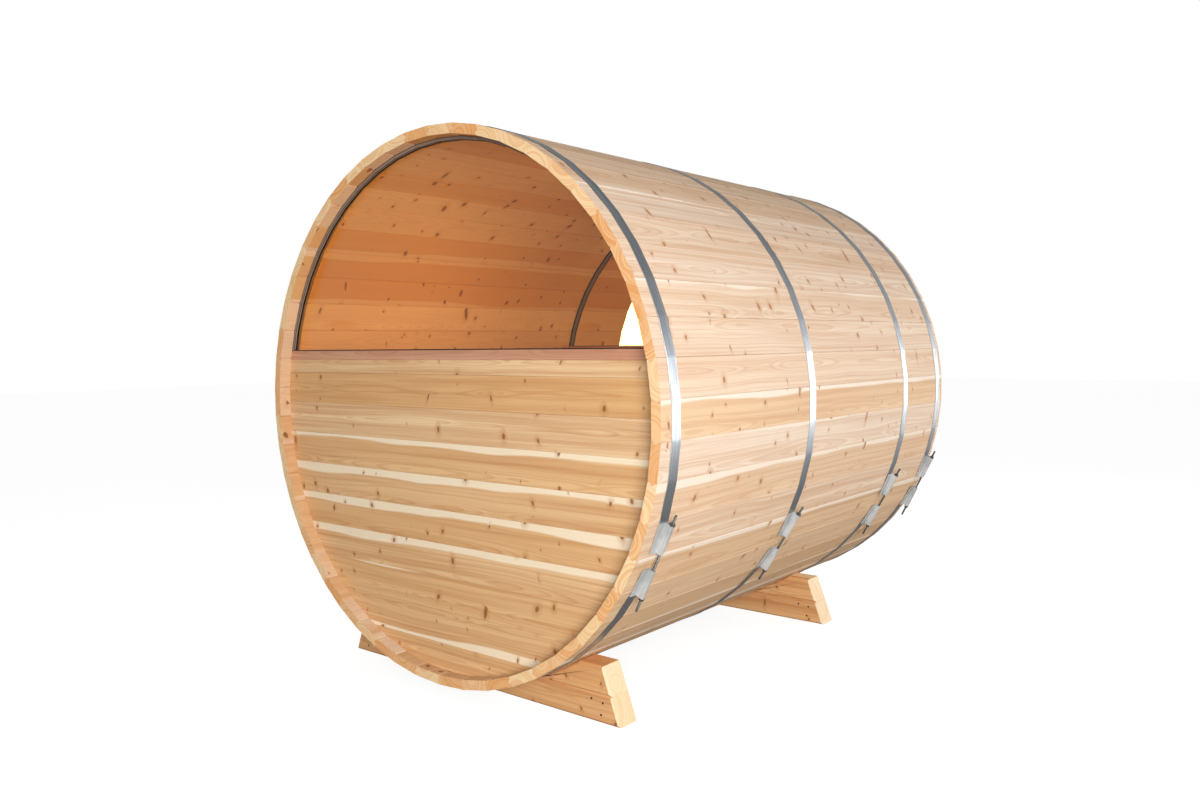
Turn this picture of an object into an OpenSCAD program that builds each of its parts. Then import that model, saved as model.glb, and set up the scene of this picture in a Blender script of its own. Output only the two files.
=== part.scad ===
// Barrel sauna: a round cabin of straight staves held by four metal hoops,
// with a half-glazed end wall, a recessed door wall behind a porch, and two
// timber cradles. Origin on the ground at the middle of the barrel, +Z up,
// the barrel's axis along Y, the window end at -Y and the porch at +Y.

/* [Barrel] */
// Outside diameter of the staves, measured over their joints
barrel_d = 2134; // [1800:2:2600]
// Length of the staves
barrel_len = 2438; // [2000:2:3200]
// Thickness of a stave
stave_t = 38; // [30:1:48]
// Clearance in each joint between two staves
stave_gap = 0.3; // [0.1:0.05:0.6]
// Depth of the croze, the groove that the end walls sit in
croze_depth = 11; // [6:1:16]

/* [Hoops] */
// Width of the strap
hoop_w = 50; // [35:1:60]
// Thickness of the strap
hoop_t = 2; // [1.5:0.5:3]
// Clearance between strap and staves
hoop_gap = 0.2; // [0.1:0.05:0.4]
// Free length between the two lugs of a hoop
lug_gap = 62; // [40:1:90]
// Length of a lug
lug_len = 112; // [80:1:130]
// Thickness of a lug's plate
lug_t = 3; // [2:0.5:4]
// Diameter of the threaded rod
rod_d = 10; // [8:1:12]
// Height of the rod's axis over the barrel's circle
rod_height = 16; // [15:0.5:20]
// Rod standing out above the upper lug
rod_top = 39; // [30:1:60]
// Rod standing out below the lower lug
rod_tail = 55; // [30:1:80]

/* [Window wall] */
// Distance from the stave ends to the face of the window wall
window_recess = 53; // [40:1:90]
// Thickness of both end walls
wall_t = 38; // [32:1:46]
// Height that one wall board covers
board_w = 132; // [100:1:150]
// Gap in each joint between two wall boards
board_gap = 0.4; // [0.2:0.1:1]
// Height of the sill rail's underside over the barrel's axis
sill_z = 189; // [140:1:260]
// Height of the sill rail
sill_h = 38; // [30:1:60]
// Thickness of the glass
glass_t = 8; // [6:1:12]
// Depth of the gasket along the barrel
gasket_depth = 24; // [18:1:30]
// Height of the gasket inside the staves
gasket_lip = 14; // [10:1:20]
// Height of the gasket strip on the sill
sill_seal = 4; // [3:0.5:6]

/* [Door wall] */
// Depth of the porch, from the stave ends to the face of the door wall
porch_depth = 458; // [380:1:560]
// Width of the door
door_w = 600; // [540:1:640]
// Height of the door
door_h = 1730; // [1600:1:1780]
// Height of the door's middle over the barrel's axis
door_mid = -10; // [-40:1:40]
// Thickness of the door
door_t = 38; // [32:1:46]
// Running gap round the door
door_gap = 3; // [2:0.5:5]
// Width of the door frame's timbers
frame_w = 45; // [36:1:60]
// Depth of the door frame's timbers
frame_t = 70; // [50:1:90]
// Width of a door stile
stile_w = 100; // [80:1:130]
// Height of the door's top and middle rails
rail_h = 110; // [90:1:140]
// Height of the door's bottom rail
kick_h = 150; // [120:1:200]

/* [Cradles] */
// Side of the square beams that the cradles are cut from
beam = 104; // [90:1:120]
// Length of a cradle on the ground
cradle_len = 1504; // [1300:2:1700]
// Amount by which the cradle's ends lean in, over its height
cradle_lean = 77; // [40:1:110]
// Clearance under the barrel's lowest point
ground_clear = 47; // [35:1:70]
// Gap between cradle and barrel, and between the two beams
cradle_gap = 0.3; // [0.1:0.05:0.5]
// Distance from the window end to the first cradle
cradle_near = 176; // [120:1:260]
// Distance from the window end to the second cradle
cradle_far = 1756; // [1500:1:1800]

/* [Hidden] */
$fn = 96;
slip = 0.3;                                  // clearance of pieces that slide together
overlap = 0.01;                              // joins shapes that would only touch

stave_count = 50;
stave_pitch = 360 / stave_count;
groups = 10;                                 // stave nodes, five to a side
per_group = stave_count / groups;
outer_r = barrel_d / 2;
outer_flat = outer_r * cos(stave_pitch / 2);
inner_flat = outer_flat - stave_t;           // to the middle of a stave's inner face
inner_r = inner_flat / cos(stave_pitch / 2);
croze_r = inner_r + croze_depth;
axis_z = outer_r + ground_clear;
y_start = -barrel_len / 2;
y_end = barrel_len / 2;

window_y = y_start + window_recess;          // outer face of the window wall
door_y = y_end - porch_depth;                // outer face of the door wall
wall_r = croze_r - slip;                     // edge of everything that sits in a croze
sill_top = sill_z + sill_h;

hoop_1_in = 11;                              // first hoop, inside the window wall's middle
hoop_2_part = 0.421;                         // second hoop, as a part of the staves' length
hoop_3_out = 5;                              // third hoop, outside the door wall's middle
hoop_4_inset = 59;                           // last hoop, from the porch end
hoop_ys = [window_y + wall_t / 2 + hoop_1_in, y_start + hoop_2_part * barrel_len,
    door_y - wall_t / 2 + hoop_3_out, y_end - hoop_4_inset];
buckle_angles = [-26, -32, -29, -26.5];      // below the horizontal, on the +X side
strap_in = outer_r + hoop_gap;
strap_out = strap_in + hoop_t / cos(stave_pitch / 2);
lug_half_angle = asin(lug_len / 2 / strap_out);
lug_offset_angle = asin((lug_gap + lug_len) / 2 / strap_out);
sleeve_wall = 4;
sleeve_r = rod_d / 2 + sleeve_wall;
sleeve_sides = 12;                           // folded sheet, so it has flats
web_w = 2 * sleeve_r - 3;                    // inside the sleeve's sides
rod_side = hoop_w / 2 - sleeve_r;            // from the hoop's middle to the rod
nut_h = 9;
nut_d = 19;

open_half = door_w / 2 + door_gap;           // half the clear opening
frame_half = open_half + frame_w;            // half the width over the jambs
door_low = door_mid - door_h / 2;
door_top = door_mid + door_h / 2;
head_low = door_top + door_gap;
sill_under_door = door_low - door_gap;       // top of the threshold

// ---- helpers: drawings of the barrel's cross-section, laid along Y ----

// Extrudes a cross-section (X across, Y up from the barrel's axis) from y0 to y1
module along(y0, y1) {
    translate([0, y1, axis_z]) rotate([90, 0, 0]) linear_extrude(y1 - y0) children();
}

// A cylinder on the barrel's axis, from y0 to y1
module barrel_bar(y0, y1, r) {
    translate([0, y1, axis_z]) rotate([90, 0, 0]) cylinder(h = y1 - y0, r = r, $fn = 200);
}

function on_circle(r, a) = [r * cos(a), r * sin(a)];

// A sector of the stave polygon, k counted down from the ridge on the +X side
module stave_outline(k) {
    top = 90 - k * stave_pitch;
    mid = top - stave_pitch / 2;
    shift = stave_gap / 2;
    down = [sin(mid), -cos(mid)];            // along the stave's face, away from the ridge
    a = on_circle(outer_r, top) + shift * down;
    b = on_circle(outer_r, top - stave_pitch) - shift * down;
    c = on_circle(inner_r, top - stave_pitch) - shift * down;
    d = on_circle(inner_r, top) + shift * down;
    polygon([a, b, c, d]);
}

// Five staves beside each other, with both crozes cut
module stave_group(g) {
    difference() {
        for (k = [g * per_group : (g + 1) * per_group - 1]) along(y_start, y_end) stave_outline(k);
        barrel_bar(window_y - slip, window_y + wall_t + slip, croze_r);
        barrel_bar(door_y - wall_t - slip, door_y + slip, croze_r);
    }
}

// A wall board: the part between two heights of a disc that fills the croze
module disc_slice(y0, y1, z0, z1, x0 = -wall_r, x1 = wall_r) {
    intersection() {
        barrel_bar(y0, y1, wall_r);
        translate([x0, y0 - 1, axis_z + z0]) cube([x1 - x0, y1 - y0 + 2, z1 - z0]);
    }
}

// Boards from the croze's bottom up to the sill, with joints counted from the axis
module wall_boards(y0, x0, x1) {
    low = -ceil(wall_r / board_w);
    least = 12;                              // a thinner board would be a sliver
    for (i = [low : floor(sill_z / board_w)]) {
        bottom = i * board_w + board_gap;
        top = min((i + 1) * board_w, sill_z);
        reach = min(abs(x0), abs(x1));
        fits = top - bottom > least && pow(wall_r, 2) > pow(top, 2) + (x0 * x1 > 0 ? pow(reach, 2) : 0);
        if (fits) disc_slice(y0, y0 + wall_t, bottom, top, x0, x1);
    }
}

// ---- hoops ----

module ring_outline(r) {
    polygon([for (k = [0 : stave_count - 1]) on_circle(r, 90 - k * stave_pitch)]);
}

// Wedge that opens a hoop between its lugs
module buckle_wedge(angle) {
    open = lug_offset_angle - lug_half_angle / 3;
    far = outer_r * 1.2;
    polygon([[0, 0], on_circle(far, angle - open), on_circle(far, angle + open)]);
}

module hoop(i) {
    along(hoop_ys[i] - hoop_w / 2, hoop_ys[i] + hoop_w / 2) difference() {
        ring_outline(strap_out);
        ring_outline(strap_in);
        buckle_wedge(buckle_angles[i]);
    }
}

// Distance of the strap's outer face from the axis at an angle
function strap_r(a) =
    let (off = (90 - a) / stave_pitch, part = off - floor(off) - 0.5)
    strap_out * cos(stave_pitch / 2) / cos(part * stave_pitch);

// Lowest seat for a flat plate that faces the angle and clears the strap
function lug_seat(angle) = hoop_gap
    + max([for (s = [-8 : 8]) let (d = s * lug_half_angle / 8) strap_r(angle + d) * cos(d)]);

// Point on the rod's line, by distance from the buckle's middle, upwards
function rod_point(angle, run, rise = 0) =
    on_circle(outer_r + rod_height + rise, angle) + run * [-sin(angle), cos(angle)];

// Point on a lug's plate, side is 1 for the upper lug and -1 for the lower
function plate_point(angle, side, run, rise) =
    let (face = angle + side * lug_offset_angle)
    on_circle(lug_seat(face) + rise, face) + run * [-sin(face), cos(face)];

function lug_inner(side) = side * lug_gap / 2;
function lug_outer(side) = side * (lug_gap / 2 + lug_len);

// The plate, the web that lifts the sleeve and the sleeve, with the rod's bore
module lug(i, side) {
    a = buckle_angles[i];
    y = hoop_ys[i];
    half = lug_len / 2;
    difference() {
        union() {
            along(y - hoop_w / 2 - 1, y + hoop_w / 2 + 1) polygon([
                plate_point(a, side, -half, 0), plate_point(a, side, half, 0),
                plate_point(a, side, half, lug_t), plate_point(a, side, -half, lug_t)]);
            along(y + rod_side - web_w / 2, y + rod_side + web_w / 2) polygon([
                plate_point(a, side, -half, lug_t / 2), plate_point(a, side, half, lug_t / 2),
                rod_point(a, side > 0 ? lug_outer(side) : lug_inner(side)),
                rod_point(a, side > 0 ? lug_inner(side) : lug_outer(side))]);
            rod_bar(i, min(lug_inner(side), lug_outer(side)), lug_len, sleeve_r, sleeve_sides);
        }
        rod_bar(i, min(lug_inner(side), lug_outer(side)) - sleeve_r, lug_len + 2 * sleeve_r,
            rod_d / 2 + slip);
    }
}

// A round bar on the rod's line, from one run along it over a length
module rod_bar(i, from, len, r, sides = 48) {
    a = buckle_angles[i];
    p = rod_point(a, from);
    translate([p[0], hoop_ys[i] + rod_side, axis_z + p[1]])
        rotate([0, -a, 0]) cylinder(h = len, r = r, $fn = sides);
}

module hoop_lugs(i) {
    lug(i, 1);
    lug(i, -1);
}

module hoop_rod(i) {
    top = lug_gap / 2 + lug_len;
    rod_bar(i, -top - rod_tail, 2 * top + rod_tail + rod_top, rod_d / 2);
    rod_bar(i, top + slip, nut_h, nut_d / 2, 6);
    rod_bar(i, -top - slip - nut_h, nut_h, nut_d / 2, 6);
}

// ---- glass and gaskets ----

// Gasket ring above the sill, grooved for the glass; half-planes cut it to a side
module gasket_arc(y0, x0, x1) {
    y1 = y0 + gasket_depth;
    glass_y = y0 + (gasket_depth - glass_t) / 2;
    intersection() {
        difference() {
            barrel_bar(y0, y1, wall_r);
            barrel_bar(y0 - 1, y1 + 1, inner_flat - gasket_lip);
            barrel_bar(glass_y - slip, glass_y + glass_t + slip, inner_flat);
        }
        translate([x0, y0 - 1, axis_z + sill_top + slip]) cube([x1 - x0, gasket_depth + 2, wall_r]);
    }
}

// Pane that stands on the sill seal and reaches into the gasket
module arc_pane(y0, x0, x1) {
    glass_y = y0 + (gasket_depth - glass_t) / 2;
    intersection() {
        barrel_bar(glass_y, glass_y + glass_t, inner_flat - slip);
        translate([x0, glass_y - 1, axis_z + sill_top + sill_seal / 2]) cube([x1 - x0, glass_t + 2, wall_r]);
    }
}

// Seal on the sill, a low strip grooved for the pane
module sill_strip(y0, x0, x1) {
    glass_y = y0 + (gasket_depth - glass_t) / 2;
    z0 = axis_z + sill_top + slip;
    difference() {
        translate([x0, y0, z0]) cube([x1 - x0, gasket_depth, sill_seal - slip]);
        translate([x0 - 1, glass_y - slip, axis_z + sill_top + sill_seal / 2 - slip])
            cube([x1 - x0 + 2, glass_t + 2 * slip, sill_seal]);
    }
}

// ---- sub-parts ----

module roof_staves_right() { color("burlywood") stave_group(0); }
module shoulder_staves_right() { color("wheat") stave_group(1); }
module side_staves_right() { color("burlywood") stave_group(2); }
module haunch_staves_right() { color("wheat") stave_group(3); }
module floor_staves_right() { color("burlywood") stave_group(4); }
module floor_staves_left() { color("tan") stave_group(5); }
module haunch_staves_left() { color("burlywood") stave_group(6); }
module side_staves_left() { color("tan") stave_group(7); }
module shoulder_staves_left() { color("burlywood") stave_group(8); }
module roof_staves_left() { color("wheat") stave_group(9); }

module hoop_1() { color("silver") hoop(0); }
module hoop_2() { color("silver") hoop(1); }
module hoop_3() { color("silver") hoop(2); }
module hoop_4() { color("silver") hoop(3); }
module hoop_1_lugs() { color("lightslategray") hoop_lugs(0); }
module hoop_2_lugs() { color("lightslategray") hoop_lugs(1); }
module hoop_3_lugs() { color("lightslategray") hoop_lugs(2); }
module hoop_4_lugs() { color("lightslategray") hoop_lugs(3); }
module hoop_1_rod() { color("dimgray") hoop_rod(0); }
module hoop_2_rod() { color("dimgray") hoop_rod(1); }
module hoop_3_rod() { color("dimgray") hoop_rod(2); }
module hoop_4_rod() { color("dimgray") hoop_rod(3); }

module window_wall_boards() { color("peru") wall_boards(window_y, -wall_r, wall_r); }
module window_wall_sill() {
    color("rosybrown") disc_slice(window_y, window_y + wall_t, sill_z + board_gap, sill_top);
}
module window_wall_glass() { color([0.45, 0.28, 0.15, 0.35]) arc_pane(window_y, -wall_r, wall_r); }
module window_wall_gasket() {
    reach = sqrt(pow(inner_flat - gasket_lip, 2) - pow(sill_top + sill_seal, 2)) - slip;
    color("dimgray") union() {
        gasket_arc(window_y, -wall_r, wall_r);
        sill_strip(window_y, -reach - 1, reach + 1);
    }
}

wall_back = door_y - wall_t;                 // inner face of the door wall
module door_wall_boards_right() { color("peru") wall_boards(wall_back, frame_half + slip, wall_r); }
module door_wall_boards_left() { color("peru") wall_boards(wall_back, -wall_r, -frame_half - slip); }
module door_wall_sills() {
    color("rosybrown") for (side = [-1, 1]) {
        x0 = side > 0 ? frame_half + slip : -wall_r;
        x1 = side > 0 ? wall_r : -frame_half - slip;
        disc_slice(wall_back, door_y, sill_z + board_gap, sill_top, x0, x1);
    }
}
module door_wall_glass() {
    y0 = door_y - gasket_depth;
    color([0.45, 0.28, 0.15, 0.35]) {
        arc_pane(y0, frame_half + slip, wall_r);
        arc_pane(y0, -wall_r, -frame_half - slip);
    }
}
module door_wall_gaskets() {
    y0 = door_y - gasket_depth;
    reach = sqrt(pow(inner_flat - gasket_lip, 2) - pow(sill_top + sill_seal, 2)) - slip;
    color("dimgray") {
        union() {
            gasket_arc(y0, frame_half + slip, wall_r);
            sill_strip(y0, frame_half + slip, reach + 1);
        }
        union() {
            gasket_arc(y0, -wall_r, -frame_half - slip);
            sill_strip(y0, -reach - 1, -frame_half - slip);
        }
    }
}
module board_over_door() {
    color("peru") disc_slice(wall_back, door_y, head_low + frame_w + slip, wall_r, -frame_half, frame_half);
}
module board_under_door() {
    color("peru") disc_slice(wall_back, door_y, -wall_r, sill_under_door - frame_w - slip, -frame_half, frame_half);
}

frame_y = door_y - wall_t / 2 - frame_t / 2; // inner face of the frame
// Jambs run the door's height between head and threshold
module door_jambs() {
    color("peru") for (x = [-frame_half, open_half])
        translate([x, frame_y, axis_z + sill_under_door]) cube([frame_w, frame_t, head_low - sill_under_door]);
}
module door_head() {
    color("peru") translate([-frame_half, frame_y, axis_z + head_low + slip])
        cube([2 * frame_half, frame_t, frame_w - slip]);
}
module door_threshold() {
    color("peru") translate([-frame_half, frame_y, axis_z + sill_under_door - frame_w])
        cube([2 * frame_half, frame_t, frame_w - slip]);
}

leaf_inset = 6;                              // door leaf behind the frame's porch face
leaf_y = frame_y + frame_t - door_t - leaf_inset;
pane_low = door_low + kick_h;
rail_zs = [door_low, door_mid - rail_h / 2, door_top - rail_h];
rail_hs = [kick_h, rail_h, rail_h];
module door_stiles() {
    color("burlywood") for (x = [-door_w / 2, door_w / 2 - stile_w])
        translate([x, leaf_y, axis_z + door_low]) cube([stile_w, door_t, door_h]);
}
// Rails, and the boards that close the door's lower half
module door_rails() {
    width = door_w - 2 * stile_w - 2 * slip;
    panel_inset = 8;
    color("burlywood") {
        for (i = [0 : 2]) translate([-width / 2, leaf_y, axis_z + rail_zs[i]]) cube([width, door_t, rail_hs[i]]);
        translate([-width / 2, leaf_y + panel_inset, axis_z + pane_low + slip])
            cube([width, door_t - 2 * panel_inset, rail_zs[1] - pane_low - 2 * slip]);
    }
}
module door_glass() {
    width = door_w - 2 * stile_w - 2 * slip;
    low = rail_zs[1] + rail_h + slip;
    color([0.45, 0.28, 0.15, 0.35]) translate([-width / 2, leaf_y + (door_t - glass_t) / 2, axis_z + low])
        cube([width, glass_t, rail_zs[2] - low - slip]);
}

// Two strap hinges on the porch side, with their knuckles over the door's edge
module door_hinges() {
    leaf = 90;
    knuckle = 6;
    plate = 3;
    from_end = 220;                          // hinge's middle from the door's end
    frame_edge = 8;                          // bare edge of the jamb beside the plate
    out = frame_y + frame_t + slip;
    x = -door_w / 2 - door_gap / 2;
    color("silver") for (z = [door_low + from_end, door_top - from_end]) translate([x, 0, axis_z + z]) {
        translate([-frame_w + frame_edge, out, -leaf / 2]) cube([frame_w - frame_edge, plate, leaf]);
        translate([door_gap, leaf_y + door_t + slip, -leaf / 2]) cube([leaf, plate, leaf]);
        translate([0, out + knuckle, -leaf / 2]) cylinder(h = leaf, r = knuckle);
        translate([0, leaf_y + door_t + slip, -leaf / 2]) cube([door_gap + overlap, plate + knuckle, leaf]);
    }
}
// Bar handle on both faces of the door, on wooden stand-offs
module door_handle() {
    x = door_w / 2 - stile_w / 2;
    grip = 300;
    stand = 40;
    stand_r = 10;
    stand_in = 45;                           // stand-off's middle from the grip's end
    bite = 4;                                // depth that the stand-off reaches into the grip
    r = 14;
    color("saddlebrown") for (side = [-1, 1]) {
        face = side > 0 ? leaf_y + door_t + slip : leaf_y - slip;
        translate([x, face + side * (stand + r - bite), axis_z + door_mid - grip / 2]) cylinder(h = grip, r = r);
        for (z = [-grip / 2 + stand_in, grip / 2 - stand_in])
            translate([x, side > 0 ? face : face - stand, axis_z + door_mid + z])
                rotate([-90, 0, 0]) cylinder(h = stand, r = stand_r);
    }
}

// One beam of a cradle: 0 is the lower, 1 the upper
module cradle_beam(from, level) {
    height = 2 * beam;
    z0 = level * (beam + cradle_gap / 2);
    z1 = level == 0 ? beam - cradle_gap / 2 : height;
    half = cradle_len / 2;
    lean0 = cradle_lean * z0 / height;
    lean1 = cradle_lean * z1 / height;
    y0 = y_start + from;
    difference() {
        translate([0, y0 + beam, 0]) rotate([90, 0, 0]) linear_extrude(beam) polygon([
            [-half + lean0, z0], [half - lean0, z0], [half - lean1, z1], [-half + lean1, z1]]);
        barrel_bar(y0 - 1, y0 + beam + 1, outer_r + cradle_gap);
    }
}
module cradle_near_lower() { color("sandybrown") cradle_beam(cradle_near, 0); }
module cradle_near_upper() { color("sandybrown") cradle_beam(cradle_near, 1); }
module cradle_far_lower() { color("sandybrown") cradle_beam(cradle_far, 0); }
module cradle_far_upper() { color("sandybrown") cradle_beam(cradle_far, 1); }

roof_staves_right();
roof_staves_left();
shoulder_staves_right();
shoulder_staves_left();
side_staves_right();
side_staves_left();
haunch_staves_right();
haunch_staves_left();
floor_staves_right();
floor_staves_left();
hoop_1();
hoop_2();
hoop_3();
hoop_4();
hoop_1_lugs();
hoop_2_lugs();
hoop_3_lugs();
hoop_4_lugs();
hoop_1_rod();
hoop_2_rod();
hoop_3_rod();
hoop_4_rod();
window_wall_boards();
window_wall_sill();
window_wall_glass();
window_wall_gasket();
door_wall_boards_right();
door_wall_boards_left();
door_wall_sills();
door_wall_glass();
door_wall_gaskets();
board_over_door();
board_under_door();
door_jambs();
door_head();
door_threshold();
door_stiles();
door_rails();
door_glass();
door_hinges();
door_handle();
cradle_near_lower();
cradle_near_upper();
cradle_far_lower();
cradle_far_upper();
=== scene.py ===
# %% [markdown]
# # A barrel sauna in cedar
# This notebook dresses a finished design: a round cabin of fifty staves, four metal hoops, a
# half-glazed end wall and two cradles. The design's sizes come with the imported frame, so every
# place below is read from it or worked out from it. We only give each piece its real edges,
# joints and finish. The steps are: camera and light, one cedar finish that all timber shares,
# then the staves, the walls, the door, the cradles, and last the metal, rubber and glass.

# %% Load the frame
import math
import random

import bpy
from mathutils import Matrix, Vector


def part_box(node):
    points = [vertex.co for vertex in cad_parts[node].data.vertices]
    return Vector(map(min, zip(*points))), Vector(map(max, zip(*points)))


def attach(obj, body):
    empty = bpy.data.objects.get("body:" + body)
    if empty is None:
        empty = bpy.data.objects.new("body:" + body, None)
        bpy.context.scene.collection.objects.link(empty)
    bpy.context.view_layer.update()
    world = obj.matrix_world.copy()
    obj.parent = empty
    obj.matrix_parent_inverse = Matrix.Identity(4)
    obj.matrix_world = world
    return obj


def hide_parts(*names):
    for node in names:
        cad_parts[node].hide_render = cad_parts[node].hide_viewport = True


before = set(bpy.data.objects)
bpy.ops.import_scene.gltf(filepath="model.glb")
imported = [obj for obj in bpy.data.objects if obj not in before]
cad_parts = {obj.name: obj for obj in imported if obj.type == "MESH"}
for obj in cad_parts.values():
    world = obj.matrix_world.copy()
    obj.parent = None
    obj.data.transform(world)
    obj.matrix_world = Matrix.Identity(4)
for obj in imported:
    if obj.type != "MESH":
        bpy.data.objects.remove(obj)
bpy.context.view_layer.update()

# %% [markdown]
# ## The barrel's own measures
# A barrel is easiest to build round its axis. Its height and radius can be read from one group of
# staves at the side, which lies evenly above and below the axis: the middle of that group's box is
# the axis, and its outer face is the flat of one stave.

# %% Measures of the barrel
STAVES = 50
PITCH = math.tau / STAVES
side_low, side_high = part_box("side_staves_right")
AXIS_Z = (side_low.z + side_high.z) / 2
FLAT_R = side_high.x                                   # axis to the middle of a stave's face
OUTER_R = FLAT_R / math.cos(PITCH / 2)
STAVE_T = FLAT_R - side_low.x / math.cos(2.5 * PITCH) * math.cos(PITCH / 2)
INNER_FLAT = FLAT_R - STAVE_T
Y_START, Y_END = side_low.y, side_high.y
print(f"axis {AXIS_Z:.3f}, radius {OUTER_R:.4f}, stave {STAVE_T:.4f}, length {Y_END - Y_START:.3f}")

# %% [markdown]
# ## Camera
# The camera stands a little over four metres from the barrel's middle, at a person's eye height, to
# the right of the glazed end. Blender's cameras look along their own -Z, so the rotation is built
# from the three directions: right, up and backwards.

# %% Camera
CAMERA_FROM_END = Vector((2.820, -2.450, 0.2475))      # from the centre of the glazed end
CAMERA_TURN, CAMERA_TILT, CAMERA_ROLL = (math.radians(a) for a in (-39.2, -3.41, -0.68))
LENS = 29.05

scene = bpy.context.scene
camera_data = bpy.data.cameras.new("camera")
camera_data.lens = LENS
camera_data.sensor_width = 36
camera = bpy.data.objects.new("camera", camera_data)
scene.collection.objects.link(camera)
ahead = Vector((math.sin(CAMERA_TURN) * math.cos(CAMERA_TILT),
                math.cos(CAMERA_TURN) * math.cos(CAMERA_TILT), math.sin(CAMERA_TILT)))
level_right = Vector((math.cos(CAMERA_TURN), -math.sin(CAMERA_TURN), 0))
level_up = level_right.cross(ahead)
right = level_right * math.cos(CAMERA_ROLL) + level_up * math.sin(CAMERA_ROLL)
up = right.cross(ahead)
place = Matrix((right, up, -ahead)).transposed().to_4x4()
place.translation = Vector((0, Y_START, AXIS_Z)) + CAMERA_FROM_END
camera.matrix_world = place
scene.camera = camera
print("camera at", [round(c, 3) for c in place.translation])

# %% [markdown]
# ## Shader maths as Python
# A wood pattern is mostly arithmetic. Wiring forty Math nodes by hand hides what they say, so this
# small class wraps a socket and lets us write `1 - mask` or `ring * 0.5`. Each operator adds one
# Math node. Everything that isn't a sum goes through `Paint.node`. The stage's floor and world are
# painted with it too, so it comes first.

# %% A socket that does sums


class Value:
    def __init__(self, paint, socket):
        self.paint, self.socket = paint, socket

    def _math(self, operation, *others):
        return self.paint.node("ShaderNodeMath", {"operation": operation}, [self, *others])

    def __add__(self, other): return self._math("ADD", other)
    __radd__ = __add__
    def __mul__(self, other): return self._math("MULTIPLY", other)
    __rmul__ = __mul__
    def __sub__(self, other): return self._math("SUBTRACT", other)

    def __rsub__(self, other):
        return self.paint.node("ShaderNodeMath", {"operation": "SUBTRACT"}, [other, self])

    def __truediv__(self, other): return self._math("DIVIDE", other)
    def __pow__(self, other): return self._math("POWER", other)
    def fract(self): return self._math("FRACT")
    def root(self): return self._math("SQRT")
    def exp(self): return self._math("EXPONENT")
    def most(self, other): return self._math("MAXIMUM", other)

    def step(self, low, high):
        """0 below low, 1 above high, smooth between; the other way round when low is the larger."""
        sockets = {"Value": self, "From Min": low, "From Max": high}
        return self.paint.node("ShaderNodeMapRange", {"interpolation_type": "SMOOTHSTEP"}, sockets)


class Paint:
    """One material under construction, or the world's backdrop."""

    def __init__(self, name, world=False):
        self.material = bpy.data.worlds.new(name) if world else bpy.data.materials.new(name)
        self.material.use_nodes = True
        self.tree = self.material.node_tree
        self.shader = self.tree.nodes["Background" if world else "Principled BSDF"]

    def node(self, kind, settings=None, sockets=(), out=0):
        made = self.tree.nodes.new(kind)
        for key, setting in (settings or {}).items():
            setattr(made, key, setting)
        pairs = sockets.items() if isinstance(sockets, dict) else enumerate(sockets)
        for key, content in pairs:
            if isinstance(content, Value):
                self.tree.links.new(content.socket, made.inputs[key])
            else:
                made.inputs[key].default_value = content
        return Value(self, made.outputs[out])

    def attribute(self, name, out="Vector"):
        return self.node("ShaderNodeAttribute", {"attribute_name": name}, out=out)

    def parts(self, vector):
        made = self.node("ShaderNodeSeparateXYZ", sockets=[vector])
        return [Value(self, made.socket.node.outputs[i]) for i in range(3)]

    def vector(self, x, y, z):
        return self.node("ShaderNodeCombineXYZ", sockets=[x, y, z])

    def noise(self, vector, scale, detail=2.0, roughness=0.5):
        return self.node("ShaderNodeTexNoise", sockets={
            "Vector": vector, "Scale": scale, "Detail": detail, "Roughness": roughness})

    def blend(self, amount, low, high):
        """Colour low where amount is 0 and high where it is 1."""
        return self.node("ShaderNodeMix", {"data_type": "RGBA"}, {0: amount, 6: low, 7: high}, out=2)

    def set(self, **sockets):
        for name, content in sockets.items():
            target = self.shader.inputs[name.replace("_", " ")]
            if isinstance(content, Value):
                self.tree.links.new(content.socket, target)
            else:
                target.default_value = content

    def bump(self, height, distance, strength=1.0):
        self.set(Normal=self.node("ShaderNodeBump", sockets={
            "Strength": strength, "Distance": distance, "Height": height}))

    def show(self, amount, low, high):
        """Makes a mix of two shaders the surface; "own" stands for the material's own shader."""
        pair = [Value(self, self.shader.outputs[0]) if part == "own" else part for part in (low, high)]
        mixed = self.node("ShaderNodeMixShader", sockets=[amount, *pair])
        self.tree.links.new(mixed.socket, self.tree.nodes["Material Output"].inputs["Surface"])


print("shader maths ready")

# %% [markdown]
# ## Light
# A white studio. A world that is bright all round would light the wood flat, so only the camera
# sees pure white: for every other ray the horizon is softer and the ceiling dim, which gives the
# bright hoops their dark crown. The key softbox stands behind the camera, so that it also reaches
# through the pane into the cabin. A standing panel to the right, behind the barrel, is there for
# the hoops to reflect. A small lamp low in the cabin lifts its ceiling, as a real one would.

# %% World
scene.view_settings.view_transform = "Standard"
HORIZON_LIGHT, CEILING_LIGHT = 0.62, 0.27
CEILING_FROM, CEILING_FULL = 0.22, 0.6                  # how steeply a ray looks up, as a sine
studio = Paint("studio", world=True)
scene.world = studio.material
steepness = studio.parts(studio.node("ShaderNodeTexCoord", out="Generated"))[2]
dimming = steepness.step(CEILING_FROM, CEILING_FULL)
soft = dimming * (CEILING_LIGHT - HORIZON_LIGHT) + HORIZON_LIGHT
seen = studio.node("ShaderNodeLightPath", out="Is Camera Ray")
studio.set(Color=(1, 1, 1, 1), Strength=soft + (1 - soft) * seen)
print("world: horizon", HORIZON_LIGHT, "ceiling", CEILING_LIGHT)

# %% [markdown]
# ## Softboxes
# An area lamp is the soft light of a studio: the larger it is, the softer the edge of a shadow.
# Each is turned by the line from its place to what it lights.

# %% Softboxes


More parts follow.
